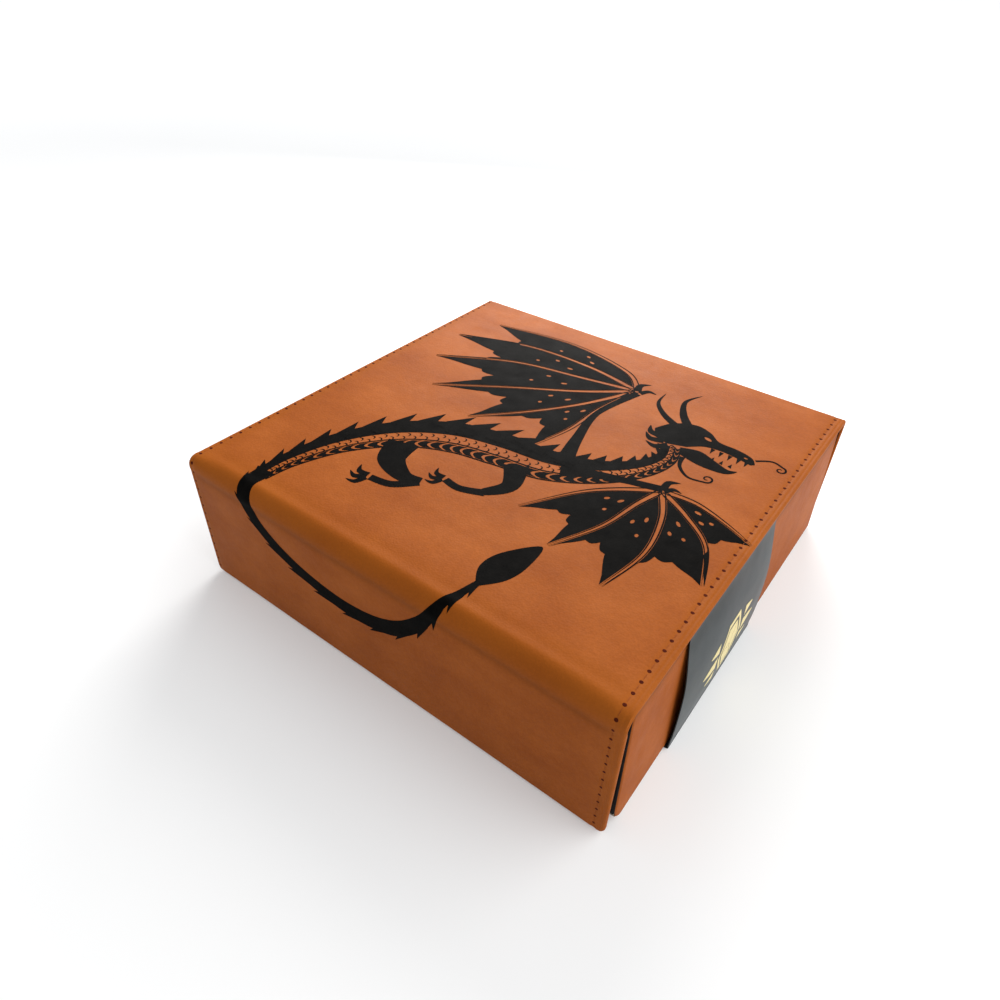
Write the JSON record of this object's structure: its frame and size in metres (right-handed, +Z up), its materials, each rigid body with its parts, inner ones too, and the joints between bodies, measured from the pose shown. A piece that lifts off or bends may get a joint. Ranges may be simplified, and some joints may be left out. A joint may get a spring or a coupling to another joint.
{
  "type": "dice tower",
  "caption": "Square leatherette book box whose magnetic lid stands up and pulls open a folding dice tower with baffles, outlet arch and rolling tray, held shut by a belly band.",
  "frame": {"origin": "middle of the underside, on the surface that the closed box rests on", "axes": "+Z up, -Y towards the front flap, +X towards the right-hand side seen from the flap"},
  "size_m": [0.2168, 0.21, 0.065],
  "materials": {
    "cover_leatherette": "matt fine-grained leatherette, cognac brown",
    "tower_leatherette": "matt fine-grained leatherette over board, cognac brown",
    "greyboard": "dense uncoated bookbinder's board",
    "black_paper": "matt black lining paper",
    "black_felt": "short black felt",
    "black_cloth": "fine black bookcloth",
    "magnet_steel": "bright nickel-plated",
    "band_card": "coated black card with a satin sheen"
  },
  "bodies": {
    "tray": {"tray_base": "greyboard", "front_wall": "greyboard", "back_wall": "greyboard", "left_wall": "greyboard", "right_wall": "greyboard", "tray_wrap": "cover_leatherette", "wall_lining": "black_felt", "floor_pad": "black_felt", "wall_magnet_left": "magnet_steel", "wall_magnet_right": "magnet_steel", "spine_board": "greyboard", "spine_skin": "cover_leatherette", "spine_magnet_left": "magnet_steel", "spine_magnet_right": "magnet_steel", "outlet_tape_left": "black_cloth", "outlet_tape_right": "black_cloth", "ramp_tape": "black_cloth"},
    "lid": {"lid_board": "greyboard", "lid_skin": "cover_leatherette", "lid_lining": "black_paper", "lid_magnet_left": "magnet_steel", "lid_magnet_right": "magnet_steel", "tower_back_panel": "black_cloth"},
    "flap": {"flap_board": "greyboard", "flap_skin": "cover_leatherette", "flap_lining": "black_paper", "flap_magnet_left": "magnet_steel", "flap_magnet_right": "magnet_steel"},
    "left_rear_leaf": {"left_rear_leaf": "tower_leatherette"},
    "left_front_leaf": {"left_front_leaf": "tower_leatherette"},
    "right_rear_leaf": {"right_rear_leaf": "tower_leatherette"},
    "right_front_leaf": {"right_front_leaf": "tower_leatherette"},
    "front_panel": {"front_panel": "tower_leatherette"},
    "baffle_top": {"baffle_top": "black_felt"},
    "baffle_middle": {"baffle_middle": "black_felt"},
    "baffle_low": {"baffle_low": "black_felt"},
    "outlet_wall": {"outlet_wall": "tower_leatherette"},
    "exit_ramp": {"exit_ramp": "black_felt"},
    "belly_band": {"belly_band": "band_card"}
  },
  "joints": [
    {"name": "lid_open", "type": "hinge", "parent": "tray", "child": "lid", "pos_m": [0, 0.1028, 0.0628], "axis": [-1, 0, 0], "range_deg": [0, 90]},
    {"name": "flap_open", "type": "hinge", "parent": "lid", "child": "flap", "pos_m": [0, -0.1028, 0.0628], "axis": [-1, 0, 0], "range_deg": [0, 90]},
    {"name": "left_rear_leaf_fold", "type": "hinge", "parent": "lid", "child": "left_rear_leaf", "pos_m": [-0.055, 0.00555, 0.06025], "axis": [0, -1, 0], "range_deg": [0, 85.8]},
    {"name": "left_front_leaf_fold", "type": "hinge", "parent": "left_rear_leaf", "child": "left_front_leaf", "pos_m": [-0.09489, 0.00555, 0.05725], "axis": [0, -1, 0], "range_deg": [-171.5, 0]},
    {"name": "right_rear_leaf_fold", "type": "hinge", "parent": "lid", "child": "right_rear_leaf", "pos_m": [0.055, 0.00555, 0.06025], "axis": [0, 1, 0], "range_deg": [0, 85.8]},
    {"name": "right_front_leaf_fold", "type": "hinge", "parent": "right_rear_leaf", "child": "right_front_leaf", "pos_m": [0.09489, 0.00555, 0.05725], "axis": [0, 1, 0], "range_deg": [-171.5, 0]},
    {"name": "front_panel_fold", "type": "hinge", "parent": "left_front_leaf", "child": "front_panel", "pos_m": [-0.055, 0.00555, 0.05425], "axis": [0, -1, 0], "range_deg": [0, 85.8]},
    {"name": "baffle_top_drop", "type": "hinge", "parent": "lid", "child": "baffle_top", "pos_m": [0, -0.0472, 0.06], "axis": [-1, 0, 0], "range_deg": [0, 51.4]},
    {"name": "baffle_low_drop", "type": "hinge", "parent": "lid", "child": "baffle_low", "pos_m": [0, 0.0328, 0.06], "axis": [-1, 0, 0], "range_deg": [0, 51.4]},
    {"name": "baffle_middle_drop", "type": "hinge", "parent": "front_panel", "child": "baffle_middle", "pos_m": [0, -0.0072, 0.0545], "axis": [1, 0, 0], "range_deg": [0, 51.4]},
    {"name": "outlet_wall_rise", "type": "hinge", "parent": "tray", "child": "outlet_wall", "pos_m": [0, 0.01355, 0.006], "axis": [-1, 0, 0], "range_deg": [0, 90.1]},
    {"name": "exit_ramp_rise", "type": "hinge", "parent": "tray", "child": "exit_ramp", "pos_m": [0, 0.0218, 0.0062], "axis": [1, 0, 0], "range_deg": [0, 27.1]},
    {"name": "band_slide", "type": "slide", "parent": "tray", "child": "belly_band", "axis": [0, 1, 0], "range_m": [-0.012, 0.012]}
  ],
  "couplings": [
    {"joint": "left_rear_leaf_fold", "follows": "lid_open", "ratio": 0.95221},
    {"joint": "left_front_leaf_fold", "follows": "lid_open", "ratio": -1.9044},
    {"joint": "right_rear_leaf_fold", "follows": "lid_open", "ratio": 0.95221},
    {"joint": "right_front_leaf_fold", "follows": "lid_open", "ratio": -1.9044},
    {"joint": "front_panel_fold", "follows": "lid_open", "ratio": 0.95221},
    {"joint": "baffle_top_drop", "follows": "lid_open", "ratio": 0.57},
    {"joint": "baffle_low_drop", "follows": "lid_open", "ratio": 0.57},
    {"joint": "baffle_middle_drop", "follows": "lid_open", "ratio": 0.57},
    {"joint": "outlet_wall_rise", "follows": "lid_open", "ratio": 1},
    {"joint": "exit_ramp_rise", "follows": "lid_open", "ratio": 0.3}
  ]
}
